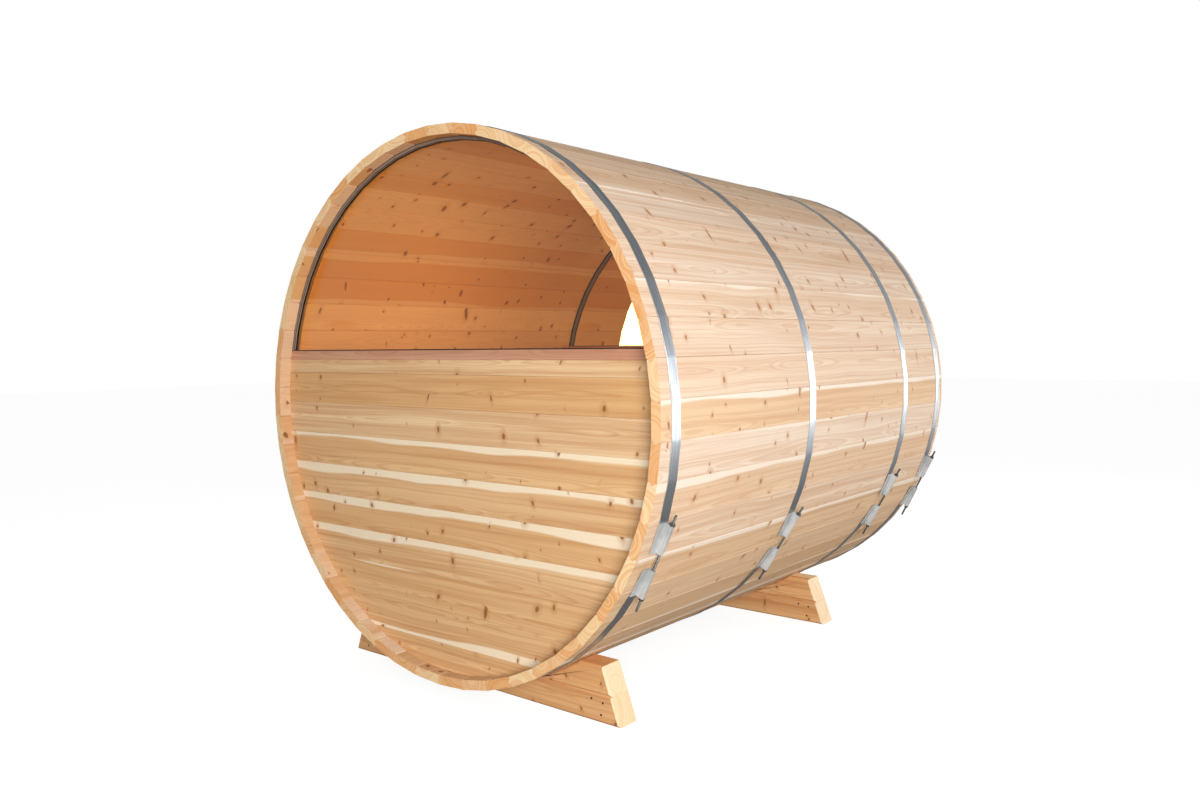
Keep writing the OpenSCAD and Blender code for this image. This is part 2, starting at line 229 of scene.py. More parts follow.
def softbox(name, spot, target, size, power, hue=(1, 1, 1)):
    lamp = bpy.data.lights.new(name, "AREA")
    lamp.shape = "RECTANGLE"
    lamp.size, lamp.size_y = size
    lamp.energy = power
    lamp.color = hue
    holder = bpy.data.objects.new(name, lamp)
    scene.collection.objects.link(holder)
    holder.location = spot
    holder.rotation_euler = (Vector(target) - Vector(spot)).to_track_quat("-Z", "Y").to_euler()
    print("lamp", name, power, "W")


softbox("key_softbox", (5.4, -5.2, 1.8), (0, -0.4, 1.2), (3.4, 2.6), 435)
softbox("reflector_panel", (4.4, 4.6, 1.15), (0.9, -0.2, 1.2), (3.6, 2.2), 110)
softbox("cabin_lamp", (0.0, -0.55, 0.62), (-0.15, -0.3, 2.1), (0.9, 0.7), 7, (1, 0.86, 0.7))

# %% [markdown]
# ## Floor
# One big flat sheet under the cradles. It is only a stage, and it stays out of the finished part.
# The camera sees it nearly as white as the backdrop, with a faint shadow, while the light that it
# throws up on the barrel's belly is that of a grey floor.

# %% Floor
FLOOR_HALF = 30.0
FLOOR_DROP = 0.0005                                     # just under the feet
WHITE_SHARE, WHITE_GLOW = 0.7, 1.26
THROWN_GREY, SEEN_GREY = 0.3, 0.95


def stage_sheet(name, corners):
    mesh = bpy.data.meshes.new(name)
    mesh.from_pydata(corners, [], [(0, 1, 2, 3)])
    sheet = bpy.data.objects.new(name, mesh)
    scene.collection.objects.link(sheet)
    p = Paint(name)
    mesh.materials.append(p.material)
    return p


around = ((-1, -1), (1, -1), (1, 1), (-1, 1))
paper = stage_sheet("pale_floor", [(FLOOR_HALF * u, FLOOR_HALF * v, -FLOOR_DROP) for u, v in around])
seen = paper.node("ShaderNodeLightPath", out="Is Camera Ray")
greys = [(grey, grey, grey, 1) for grey in (THROWN_GREY, SEEN_GREY)]
paper.set(Base_Color=paper.blend(seen, *greys), Roughness=0.9)
paper.show(seen * WHITE_SHARE, "own", paper.node("ShaderNodeEmission", sockets={"Strength": WHITE_GLOW}))
print("floor", 2 * FLOOR_HALF, "m wide")

# %% [markdown]
# ## Daylight card
# Seen through two tinted panes, a white backdrop turns brown, where real daylight would still burn
# white. A bright card behind the porch supplies that daylight. It shines to one side only, and from
# its back it isn't there at all.

# %% Daylight card
CARD_SPOT, CARD_HALF, CARD_STRENGTH = Vector((-3.0, 4.0, 1.3)), 1.0, 6.0
card_run = Vector((1, 1, 0)).normalized() * CARD_HALF
card_rise = Vector((0, 0, CARD_HALF))
card = stage_sheet("daylight_card", [tuple(CARD_SPOT + card_run * u + card_rise * v) for u, v in around])
card.show(card.node("ShaderNodeNewGeometry", out="Backfacing"),
          card.node("ShaderNodeEmission", sockets={"Strength": CARD_STRENGTH}),
          card.node("ShaderNodeBsdfTransparent"))
card.tree.nodes.remove(card.shader)
print("daylight card at", tuple(CARD_SPOT))

# %% [markdown]
# ## Colours
# Colours are easier to judge as the 0 to 255 numbers of a paint shop's screen, but shaders want
# linear light. One helper turns the first into the second.

# %% Colours


def tint(red, green, blue):
    return tuple(((c / 255 + 0.055) / 1.055) ** 2.4 if c > 10 else c / 3295 for c in (red, green, blue))


def colour(red, green, blue):
    return (*tint(red, green, blue), 1)


print("colour of pale cedar in linear light", [round(c, 3) for c in tint(238, 214, 186)])

# %% [markdown]
# ## Cedar, as a solid
# Wood is a stack of growth rings round a pith, so the honest way to paint it is in three
# dimensions: each board knows where it lay in its log. Every timber mesh below carries two point
# attributes. `log` is the place in the log, in metres, with the pith at y = z = 0. `board` holds a
# random number, the board's tone, and 1 on sawn ends. From these one material gives flame figure
# on the faces, arcs on the ends, cream sapwood outside a certain radius, and knots.

# %% The cedar finish


# inside and knot_inside colour the inner faces darker and more orange: painted shade of the cabin's inside,
# on top of the warmer colour of unweathered cedar.
def cedar(name, heart, late, sap, knot=(134, 82, 42), ring=0.0034, knot_cell=0.088, knot_size=0.0125,
          sap_start=0.085, end_tint=(252, 220, 170), end_ripe=(230, 156, 84), inside=(208, 152, 88),
          knot_inside=(124, 70, 28), streaks=0.5):
    p = Paint(name)
    along, across, deep = p.parts(p.attribute("log"))
    seed, tone, end = p.parts(p.attribute("board"))

    # slow wander of the grain, so that no streak runs dead straight
    far = seed * 61
    wander = p.noise(p.vector(along * 0.9 + far, across * 5, far), 1.0, 2.0)
    wander_deep = p.noise(p.vector(along * 1.3, far, deep * 4 + 3.3), 1.0, 2.0)

    # knots: the cores of a cell pattern cut by the board's own plane
    cell = 1 / knot_cell
    knot_place = p.vector(along * cell + far, across * cell, seed * 37)
    cells = p.node("ShaderNodeTexVoronoi", {"feature": "F1"},
                   {"Vector": knot_place, "Scale": 1.0, "Randomness": 0.9})
    centre = p.parts(Value(p, cells.socket.node.outputs["Position"]))
    chance, spike, lean = p.parts(Value(p, cells.socket.node.outputs["Color"]))
    inner_face = (tone - 1).step(0.0, 0.3)                  # 1 on inner faces
    size = (knot_size * (chance - 0.74 + inner_face * 0.1) * 3.8).most(0.0004)
    run_off = (along * cell + far - centre[0]) * knot_cell
    rise_off = (across * cell - centre[1]) * knot_cell
    slanted = run_off + rise_off * (lean - 0.5) * 0.7
    longer = rise_off * (1 - spike ** 4 * 0.72)        # some knots are cut along: long and thin
    apart = (slanted * slanted * 1.6 + longer * longer).root()
    core = apart.step(size, size * 0.5)
    halo = apart.step(size * 3.0, size * 0.8)
    swell = ((run_off * run_off * -500) + (rise_off * rise_off * -2600)).exp()

    # rings
    v = across + (wander - 0.5) * 0.05
    w = deep + (wander_deep - 0.5) * 0.05
    radius = (v * v + w * w).root() + swell * halo * 0.006
    turn = (radius / ring).fract()
    late_wood = turn.step(0.35, 0.9) * turn.step(1.0, 0.93)

    # sapwood, fibres and long soft streaks
    sap_edge = sap_start + (p.noise(p.vector(along * 2.2, across * 9, far), 1.0, 1.0) - 0.5) * 0.03
    sapwood = (radius + tone * 0.02).step(sap_edge + 0.004, sap_edge - 0.004)
    sapwood = (1 - sapwood) * (1 - inner_face * 0.72)
    fibre = p.noise(p.vector(along * 5 + far, across * 420, deep * 420), 1.0, 2.0)
    streak = p.noise(p.vector(along * 0.8 + far, across * 38, deep * 38), 1.0, 3.0, 0.6)

    season = p.noise(p.vector(radius * 130, far, far), 1.0, 1.0)
    base = p.blend(tone, colour(*heart[0]), colour(*heart[1]))
    # Tones above 1 turn the inner faces towards inside: painted shade of the cabin's inside, besides
    # unweathered cedar's warmer colour.
    base = p.blend(tone - 1, base, colour(*inside))
    base = p.blend(season.step(0.42, 0.68) * 0.3, base, colour(*late))
    body = p.blend(streak.step(0.35, 0.75) * streaks, base, colour(*late))
    body = p.blend(sapwood, body, colour(*sap))
    body = p.blend(late_wood * 0.30 * (1 - sapwood * 0.7), body, colour(*late))
    body = p.blend(fibre.step(0.55, 0.8) * 0.18, body, colour(*late))
    ripe = (seed * 17.3).fract().step(0.25, 0.95)
    ripeness = late_wood * 0.3 + season.step(0.4, 0.65) * 0.4 + ripe * 0.6
    ends = p.blend(ripeness, colour(*end_tint), colour(*end_ripe))
    body = p.blend(end * 0.9, body, ends)
    body = p.blend(halo * 0.35 * (1 - end), body, colour(*late))
    knot_tint = p.blend(inner_face, colour(*knot), colour(*knot_inside))
    body = p.blend(core * 0.85 * (1 - end), body, knot_tint)

    p.set(Base_Color=body, Roughness=0.62 + fibre * 0.12 - core * 0.15)
    p.shader.inputs["Specular IOR Level"].default_value = 0.35
    p.bump(fibre * 0.5 - late_wood * 0.5 + core * 0.6, 0.0004, 0.5)
    print("cedar finish", name)
    return p.material


stave_wood = cedar("stave_cedar", heart=((238, 218, 197), (230, 195, 154)), late=(200, 148, 104),
                   sap=(242, 226, 207), sap_start=0.122, knot=(164, 104, 58), knot_size=0.0145, streaks=0.45)
wall_wood = cedar("wall_cedar", heart=((241, 207, 162), (226, 176, 116)), late=(190, 124, 68),
                  sap=(250, 230, 198), sap_start=0.112, knot=(146, 88, 44), knot_size=0.0145)
cradle_wood = cedar("cradle_cedar", heart=((238, 192, 138), (228, 172, 114)), late=(186, 116, 62),
                    sap=(246, 222, 180), sap_start=0.14, end_tint=(248, 226, 192),
                    end_ripe=(238, 204, 158), knot_cell=0.08, streaks=0.55)
sill_wood = cedar("sill_cedar", heart=((214, 164, 132), (206, 150, 118)), late=(176, 112, 82),
                  sap=(230, 190, 160), sap_start=0.2, knot_size=0.004)
door_wood = cedar("door_cedar", heart=((228, 186, 132), (216, 160, 100)), late=(186, 120, 66),
                  sap=(246, 222, 184), sap_start=0.4, knot_size=0.009)

# %% [markdown]
# ## Sawn timber as meshes
# Every board here is a loft: a closed outline repeated at a few stations. That gives bevelled
# arrises, grooves and sloping cuts without a single Boolean. The class gathers the boards of one
# piece into one mesh and writes the two attributes as it goes. Sawn ends get points of their own,
# so that the end-grain mark stops sharply at the arris.

# %% A stack of boards


class Timber:
    def __init__(self, name):
        self.name = name
        self.points, self.faces, self.logs, self.boards = [], [], [], []

    def _add(self, ring, logs, board):
        """board is one (seed, tone, end) for the whole ring, or a list with one for each point."""
        start = len(self.points)
        self.points += ring
        self.logs += logs
        self.boards += board if isinstance(board, list) else [board] * len(ring)
        return start

    def loft(self, rings, logs, seed, tone, caps_are_ends=True, sides_are_ends=None, tones=None):
        """rings: lists of points with one count; logs: their places in the log; tones: likewise."""
        count = len(rings[0])
        tones = tones or [[tone] * count] * len(rings)
        starts = [self._add(ring, log, [(seed, t, 0.0) for t in ring_tones])
                  for ring, log, ring_tones in zip(rings, logs, tones)]
        for low, high in zip(starts, starts[1:]):
            for i in range(count):
                j = (i + 1) % count
                if sides_are_ends and sides_are_ends(rings[0][i], rings[0][j]):
                    self._end_quad(low, high, i, j, (seed, tone, 1.0))
                else:
                    self.faces.append((low + i, low + j, high + j, high + i))
        cap = (seed, tone, 1.0 if caps_are_ends else 0.0)
        first = self._add(rings[0], logs[0], cap)
        last = self._add(rings[-1], logs[-1], cap)
        self.faces.append(tuple(first + i for i in reversed(range(count))))
        self.faces.append(tuple(last + i for i in range(count)))

    def _end_quad(self, low, high, i, j, board):
        corners = (low + i, low + j, high + j, high + i)
        start = self._add([self.points[c] for c in corners], [self.logs[c] for c in corners], board)
        self.faces.append(tuple(range(start, start + 4)))

    def build(self, material, slot, *nodes):
        mesh = bpy.data.meshes.new(self.name)
        mesh.from_pydata(self.points, [], self.faces)
        for key, values in (("log", self.logs), ("board", self.boards)):
            made = mesh.attributes.new(key, "FLOAT_VECTOR", "POINT")
            made.data.foreach_set("vector", [c for v in values for c in v])
        mesh.materials.append(material)
        piece = bpy.data.objects.new(self.name, mesh)
        scene.collection.objects.link(piece)
        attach(piece, "root")
        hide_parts(*nodes)
        print(f"{self.name}: {len(self.faces)} faces")
        return piece


def polar(radius, angle, shift=0.0):
    """Point of the cross-section, X across and Z up from the axis; shift runs clockwise."""
    return (radius * math.cos(angle) + shift * math.sin(angle),
            radius * math.sin(angle) - shift * math.cos(angle))


print("timber class ready")

# %% [markdown]
# ## Staves
# A stave is a long board whose edges are milled as a bead and a cove, so that each one turns in its
# neighbour like a hinge while the hoops pull the barrel round. The outline below is drawn once and
# turned to each place. It is lofted along the barrel with two extra steps where the crozes for the
# end walls are cut into its inner face. Ends wander by a millimetre, as sawn ends do.

# %% Stave outline
BEAD_R = 0.009
UPPER_ARRIS, LOWER_ARRIS = 0.0024, 0.0011               # the upper bevel catches the light
INNER_ARRIS = 0.0034                                    # draws the joints inside the cabin
JOINT = 0.0003
BEAD_STEPS = 7
CHIP_SLANT = 0.34                                       # a chip is deeper than it is wide
CROZE_DEPTH = 0.0105


def stave_outline(top_angle, floor_r, chip=0.0):
    """Points of one stave; floor_r keeps its inner face out, chip breaks its lower outer corner."""
    low_angle = top_angle - PITCH
    inner_r = INNER_FLAT / math.cos(PITCH / 2)
    middle = (FLAT_R + INNER_FLAT) / 2 / math.cos(PITCH / 2)
    swing = [math.pi * (i / (BEAD_STEPS - 1) - 0.5) for i in range(BEAD_STEPS)]

    def edge(joint, bulge_r, arris):
        bulge = [(middle - bulge_r * math.sin(s), joint + bulge_r * math.cos(s)) for s in swing]
        return [(OUTER_R - arris, joint)] + bulge + [(inner_r + INNER_ARRIS, joint)]

    upper, lower = (UPPER_ARRIS, LOWER_ARRIS) if math.cos(top_angle) > 0 else (LOWER_ARRIS, UPPER_ARRIS)
    cove = edge(JOINT / 2, BEAD_R + JOINT / 2, upper)
    bead = edge(-JOINT / 2, BEAD_R - JOINT / 2, max(lower, chip))
    points = [polar(OUTER_R, top_angle, upper), polar(OUTER_R, low_angle, -max(lower, chip * CHIP_SLANT))]
    points += [polar(max(r, floor_r), low_angle, s) for r, s in bead]
    points.append(polar(max(inner_r, floor_r), low_angle, -INNER_ARRIS))
    points.append(polar(max(inner_r, floor_r), top_angle, INNER_ARRIS))
    points += [polar(max(r, floor_r), top_angle, s) for r, s in reversed(cove)]
    return points


print("stave outline has", len(stave_outline(0, 0)), "points")

# %% [markdown]
# ## Tones round the barrel
# A real stack of cedar is mixed: pinkish white boards beside honey ones. The tones run from 0,
# nearly white, to 1, honey. The side towards the camera has a chosen order, counted down from the
# ridge, and the other side is drawn from a seeded shuffle. The outer faces keep these tones. The
# inner faces get a tone from 1 to 2, darker and more orange: painted shade of the cabin's inside,
# over the warmer colour of unweathered cedar. In the shallow recess at the window end the inner tone
# rises with height: the low faces, which look up into the light, get painted light, and the high ones painted
# shade.

# %% Tones
RIGHT_TONES = (0.7, 0.95, 1.0, 0.7, 0.4, 0.45, 0.0, 0.3, 0.1, 0.25, 0.15, 0.3, 0.9, 0.0, 0.65,
               0.35, 0.9, 0.8, 1.0, 0.85, 1.0, 0.8, 1.0, 0.9, 1.0)
dice = random.Random(11)
tones = list(RIGHT_TONES) + [dice.uniform(0.35, 1.0) for _ in range(STAVES - len(RIGHT_TONES))]
print("mean tone", round(sum(tones) / STAVES, 2))

# %% [markdown]
# ## Cutting the staves
# The design joins the staves into ten groups of five, counted from the ridge clockwise as seen from
# the window end. Each group's stack of boards takes its place. A board gets its own pith and its own
# start along the log, so no two are alike. Three have a chipped corner at the window end.

# %% Staves
GROUPS = ("roof_staves_right", "shoulder_staves_right", "side_staves_right", "haunch_staves_right",
          "floor_staves_right", "floor_staves_left", "haunch_staves_left", "side_staves_left",
          "shoulder_staves_left", "roof_staves_left")
CROZE_SLIP = 0.0003
window_low, window_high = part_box("window_wall_boards")
door_low, door_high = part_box("board_over_door")
CROZE_R = INNER_FLAT / math.cos(PITCH / 2) + CROZE_DEPTH
END_WANDER = 0.0012
CHIPS = {21: 0.012, 31: 0.015, 32: 0.011}              # staves with a chipped corner at the window end
CHIP_RUN = 0.022
MID_R = (FLAT_R + INNER_FLAT) / 2


def stations(rng):
    first = Y_START + rng.uniform(0, END_WANDER)
    last = Y_END - rng.uniform(0, END_WANDER)
    cuts = [(first, 0), (first + CHIP_RUN, 0)]
    for wall_low, wall_high in ((window_low.y, window_high.y), (door_low.y, door_high.y)):
        a, b = wall_low - CROZE_SLIP, wall_high + CROZE_SLIP
        cuts += [(a, 0), (a, CROZE_R), (b, CROZE_R), (b, 0)]
    return cuts + [(last, 0)]


def inner_tone(tone, y, z):
    """Tone of an inner face, 1 to 2: painted shade in the cabin and porch; in the recess painted light low
    down, painted shade up high.
    """
    return 1.4 + 0.6 * tone if y > window_low.y else 1.6 + 0.45 * z / FLAT_R


def add_stave(timber, k, rng):
    top_angle = math.pi / 2 - k * PITCH
    middle = top_angle - PITCH / 2
    pith_across, pith_deep = rng.uniform(-0.05, 0.05), rng.choice((-1, 1)) * rng.uniform(0.03, 0.075)
    start = rng.uniform(0, 40)
    rings, logs, warmth = [], [], []
    for number, (y, floor_r) in enumerate(stations(rng)):
        outline = stave_outline(top_angle, floor_r, 0 if number else CHIPS.get(k, 0))
        rings.append([(x, y, AXIS_Z + z) for x, z in outline])
        log = []
        for x, z in outline:
            across = x * math.sin(middle) - z * math.cos(middle)
            deep = x * math.cos(middle) + z * math.sin(middle) - FLAT_R
            log.append((y + start, across - pith_across, deep - pith_deep))
        logs.append(log)
        # Inner faces take the inner tone, which is painted shade in the cabin and painted light low in the
        # recess.
        warmth.append([inner_tone(tones[k], y, z) if math.hypot(x, z) < MID_R else tones[k]
                       for x, z in outline])
    timber.loft(rings, logs, rng.random(), tones[k], tones=warmth)


stave_dice = random.Random(4)
for number, group in enumerate(GROUPS):
    stack = Timber(group.replace("staves", "stave_boards"))
    for k in range(number * 5, number * 5 + 5):
        add_stave(stack, k, stave_dice)
    stack.build(stave_wood, "stave_cedar", group)

# %% [markdown]
# ## End walls
# The walls are horizontal tongued boards let into the crozes. Each board is the part of a disc
# between two heights, so its ends are arcs. The helper walks up both edges of that shape, and the
# slab is lofted through the wall's thickness with a small arris on both faces.

# %% Outline and slab helpers
ARC_STEPS = 10
FAR = 9.0                                               # further out than any barrel's edge
LEAST_SPAN = 0.002


def disc_slice(radius, z0, z1, x0=-FAR, x1=FAR):
    """Outline, anticlockwise seen from -Y: the disc between two heights and two sides."""
    heights = [z0 + (z1 - z0) * i / ARC_STEPS for i in range(ARC_STEPS + 1)]
    reach = [math.sqrt(max(radius * radius - z * z, 0)) for z in heights]
    spans = [(z, max(x0, -r), min(x1, r)) for z, r in zip(heights, reach)]
    kept = [(z, a, b) for z, a, b in spans if b - a > LEAST_SPAN]
    return [(b, z) for z, a, b in kept] + [(a, z) for z, a, b in reversed(kept)]


def inset(outline, depth):
    """Moves each corner of a convex outline inwards by depth."""
    count = len(outline)
    moved = []
    for i in range(count):
        before, here, after = (Vector(outline[(i + s) % count]) for s in (-1, 0, 1))
        first = (here - before).normalized() if (here - before).length > 1e-7 else Vector((0, 0))
        second = (after - here).normalized() if (after - here).length > 1e-7 else Vector((0, 0))
        inward = Vector((-(first.y + second.y), first.x + second.x))
        if inward.length < 1e-6:
            moved.append(tuple(here))
            continue
        inward.normalize()
        half_turn = max(0.4, Vector((-first.y, first.x)).dot(inward))
        moved.append(tuple(here + inward * depth / half_turn))
    return moved


def add_slab(timber, outline, y0, y1, rng, tone, arris=0.001, upright=False, pith=None):
    """A board with its faces across Y and its grain along X, or along Z when upright."""
    low = min(z for _, z in outline)
    high = max(z for _, z in outline)
    left = min(x for x, _ in outline)
    right_side = max(x for x, _ in outline)
    centre = (left + right_side) / 2 if upright else (low + high) / 2
    if not pith:
        pith = (rng.uniform(-0.05, 0.05), rng.choice((-1, 1)) * rng.uniform(0.025, 0.07))
    pith_across, pith_deep = pith
    start = rng.uniform(0, 40)
    inner = inset(outline, arris)
    levels = [(y0, inner), (y0 + arris, outline), (y1 - arris, outline), (y1, inner)]
    rings, logs = [], []
    for y, ring in levels:
        rings.append([(x, y, AXIS_Z + z) for x, z in ring])
        logs.append([((z if upright else x) + start, (x if upright else z) - centre - pith_across,
                      y - y0 - pith_deep) for x, z in ring])

    def is_end(a, b):
        run = abs(b[2] - a[2]) if upright else abs(b[0] - a[0])
        other = abs(b[0] - a[0]) if upright else abs(b[2] - a[2])
        return run < other

    timber.loft(rings, logs, rng.random(), tone, caps_are_ends=False, sides_are_ends=is_end)


print("slab helpers ready")

# %% [markdown]
# ## The window wall
# The lower half of this wall is boards, up to a pinkish sill rail on which the half-moon pane
# stands. The joints are counted from the barrel's axis, and the bottom boards follow its curve.
# From the bottom up, each board has a tone and the height of its pith above its own middle. A
# board whose pith lay well below it reaches out into the sapwood, and has a cream upper edge.

# %% Window wall
BOARD_W = 0.132
BOARD_GAP = 0.0004
BOARD_TRIM = 0.0004                                     # a drawn board ends this far inside the design's
sill_low, sill_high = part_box("window_wall_sill")
SILL_Z, SILL_TOP = sill_low.z - AXIS_Z, sill_high.z - AXIS_Z
SILL_TONE, SILL_ARRIS = 0.3, 0.002
WALL_R = window_high.x
BOARD_R = WALL_R - BOARD_TRIM
WALL_BOARDS = ((0.6, 0.0), (0.5, 0.05), (0.6, -0.02), (0.35, -0.055), (0.65, -0.058), (0.45, -0.056),
               (0.6, -0.05), (0.0, 0.01), (0.75, 0.0), (0.15, 0.02))


def wall_boards(name, y0, y1, x0, x1, boards_up, rng, *nodes):
    boards = Timber(name)
    lowest = -math.ceil(WALL_R / BOARD_W)
    for number, i in enumerate(range(lowest, math.floor(SILL_Z / BOARD_W) + 1)):
        bottom = max(i * BOARD_W + BOARD_GAP, -WALL_R)
        top = min((i + 1) * BOARD_W, SILL_Z)
        outline = disc_slice(BOARD_R, bottom, top, x0, x1)
        if len(outline) >= 6 and top - bottom > 0.012:
            tone, pith_height = boards_up[number % len(boards_up)]
            pith = (pith_height, rng.choice((-1, 1)) * rng.uniform(0.025, 0.045))
            add_slab(boards, outline, y0, y1, rng, tone, pith=pith)
    return boards.build(wall_wood, "wall_cedar", *nodes)


wall_boards("window_wall_planks", window_low.y, window_high.y, -FAR, FAR, WALL_BOARDS, random.Random(21),
            "window_wall_boards")
sill = Timber("window_sill_rail")
add_slab(sill, disc_slice(BOARD_R, SILL_Z, SILL_TOP), sill_low.y, sill_high.y, random.Random(5),
         SILL_TONE, arris=SILL_ARRIS)
sill.build(sill_wood, "sill_cedar", "window_wall_sill")

# %% [markdown]
# ## The door wall
# The far wall repeats the window wall on both sides of a plain timber door. The same helpers draw
# it, cut off at the door frame.

# %% Door wall
jamb_low, jamb_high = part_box("door_jambs")
FRAME_HALF = jamb_high.x
FRAME_SLIP = 0.0003
edge = FRAME_HALF + FRAME_SLIP
right_low, right_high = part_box("door_wall_boards_right")
door_wall_dice = random.Random(33)
for side, x0, x1 in (("right", edge, FAR), ("left", -FAR, -edge)):
    boards_up = [(door_wall_dice.uniform(0.2, 0.8), door_wall_dice.uniform(-0.055, 0.055))
                 for _ in WALL_BOARDS]
    wall_boards(f"door_wall_planks_{side}", right_low.y, right_high.y, x0, x1, boards_up,
                door_wall_dice, f"door_wall_boards_{side}")
sills = Timber("door_wall_sill_rails")
for x0, x1 in ((edge, FAR), (-FAR, -edge)):
    add_slab(sills, disc_slice(BOARD_R, SILL_Z, SILL_TOP, x0, x1), right_low.y, right_high.y,
             door_wall_dice, SILL_TONE, arris=SILL_ARRIS)
sills.build(sill_wood, "sill_cedar", "door_wall_sills")
for node in ("board_over_door", "board_under_door"):
    low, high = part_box(node)
    board = Timber(node.replace("board", "plank"))
    z0, z1 = low.z - AXIS_Z, high.z - AXIS_Z
    add_slab(board, disc_slice(BOARD_R, z0, z1, low.x, high.x), low.y, high.y, door_wall_dice, 0.4)
    board.build(wall_wood, "wall_cedar", node)

# %% [markdown]
# ## The door and its frame
# Frame and leaf are plain planed timbers. Uprights have their grain along Z and the rails along X,
# which is what makes joinery look joined.

# %% Planed block


def block(timber, low, high, rng, tone, upright, arris=0.002):
    z0, z1 = low.z - AXIS_Z, high.z - AXIS_Z
    outline = [(high.x, z0), (high.x, z1), (low.x, z1), (low.x, z0)]
    add_slab(timber, outline, low.y, high.y, rng, tone, arris, upright)


print("block helper ready")

# %% [markdown]
# ## Where each timber is
# One design node holds several timbers, such as both jambs. Their boxes are found by joining the
# vertices that share an edge or a place, which is the old union-find trick.

# %% Boxes of the solids in a node


def solids_of(node):
    """Boxes of the separate solids that one design node holds."""
    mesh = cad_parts[node].data
    owner = list(range(len(mesh.vertices)))

    def find(i):
        while owner[i] != i:
            i = owner[i]
        return i

    places = {}
    for v in mesh.vertices:
        key = tuple(round(c, 5) for c in v.co)
        owner[find(v.index)] = find(places.setdefault(key, v.index))
    for e in mesh.edges:
        owner[find(e.vertices[0])] = find(e.vertices[1])
    boxes = {}
    for v in mesh.vertices:
        low, high = boxes.setdefault(find(v.index), (v.co.copy(), v.co.copy()))
        for axis in range(3):
            low[axis] = min(low[axis], v.co[axis])
            high[axis] = max(high[axis], v.co[axis])
    return sorted(boxes.values(), key=lambda b: tuple(b[0]))


print("door stiles and jambs:", len(solids_of("door_stiles")), len(solids_of("door_jambs")))

# %% [markdown]
# ## Cutting the door's timbers
# Every box becomes a planed timber. The infill under the door's pane is the one tall piece among
# the rails, and is made of four upright boards with V-shaped joints.

# %% Door frame and leaf
door_dice = random.Random(8)
PANEL_FROM, PANEL_BOARDS = 0.3, 4                       # taller infill is made of upright boards
PANEL_SLIP, PANEL_ARRIS = 0.0003, 0.003
DOOR_NODES = (("door_frame_jambs", "door_jambs", True), ("door_frame_head", "door_head", False),
              ("door_frame_threshold", "door_threshold", False), ("door_leaf_stiles", "door_stiles", True),
              ("door_leaf_rails", "door_rails", False))
for name, node, upright in DOOR_NODES:
    timbers = Timber(name)
    for low, high in solids_of(node):
        if not upright and high.z - low.z > PANEL_FROM:
            width = (high.x - low.x) / PANEL_BOARDS
            for i in range(PANEL_BOARDS):
                left, right_side = Vector(low), Vector(high)
                left.x = low.x + i * width + PANEL_SLIP
                right_side.x = left.x + width - 2 * PANEL_SLIP
                block(timbers, left, right_side, door_dice, door_dice.uniform(0.3, 0.8), True, PANEL_ARRIS)
        else:
            block(timbers, low, high, door_dice, door_dice.uniform(0.2, 0.7), upright)
    timbers.build(door_wood, "door_cedar", node)

# %% [markdown]
# ## Cradles
# Each cradle is two square beams, one on the other, with slanting ends and a saddle cut to the
# barrel's circle. The saddle is an arc in the outline, so the same slab helper makes them.

# %% Cradles
CRADLE_LEAN = 0.077
SADDLE_GAP = 0.0003
SADDLE_STEPS = 24
CRADLE_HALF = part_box("cradle_near_lower")[1].x
CRADLE_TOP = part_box("cradle_near_upper")[1].z
saddle_r = OUTER_R + SADDLE_GAP


def saddle_x(z):
    return math.sqrt(max(saddle_r ** 2 - (AXIS_Z - z) ** 2, 0))


def end_x(z):
    return CRADLE_HALF - CRADLE_LEAN * z / CRADLE_TOP


def saddle(x0, x1):
    xs = [x0 + (x1 - x0) * i / SADDLE_STEPS for i in range(SADDLE_STEPS + 1)]
    return [(x, AXIS_Z - math.sqrt(saddle_r ** 2 - x * x)) for x in xs]


def beam_outline(low, high, side=0):
    """Outline of a beam between two heights; side picks one half of an upper beam."""
    if side == 0:
        cut = saddle_x(high)
        return ([(-end_x(low), low), (end_x(low), low), (end_x(high), high)] + saddle(cut, -cut)
                + [(-end_x(high), high)])
    points = [(end_x(low), low), (end_x(high), high)] + saddle(saddle_x(high), saddle_x(low))
    return points if side > 0 else [(-x, z) for x, z in reversed(points)]


cradle_dice = random.Random(14)
for cradle in ("near", "far"):
    for level in ("lower", "upper"):
        node = f"cradle_{cradle}_{level}"
        low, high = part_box(node)
        beams = Timber(f"cradle_{cradle}_{level}_beam")
        for side in ((0,) if level == "lower" else (1, -1)):
            outline = [(x, z - AXIS_Z) for x, z in beam_outline(low.z, high.z, side)]
            add_slab(beams, outline, low.y, high.y, cradle_dice, cradle_dice.uniform(0.3, 0.8), arris=0.007)
        beams.build(cradle_wood, "cradle_cedar", node)

# %% [markdown]
# ## Round things
# Screws, rods, nuts and handles are all turned shapes: a profile swept round a line. One helper
# sweeps a list of (distance, radius) pairs, and can make its rings six-sided for a nut or ridged
# for a thread.

# %% Turned shapes


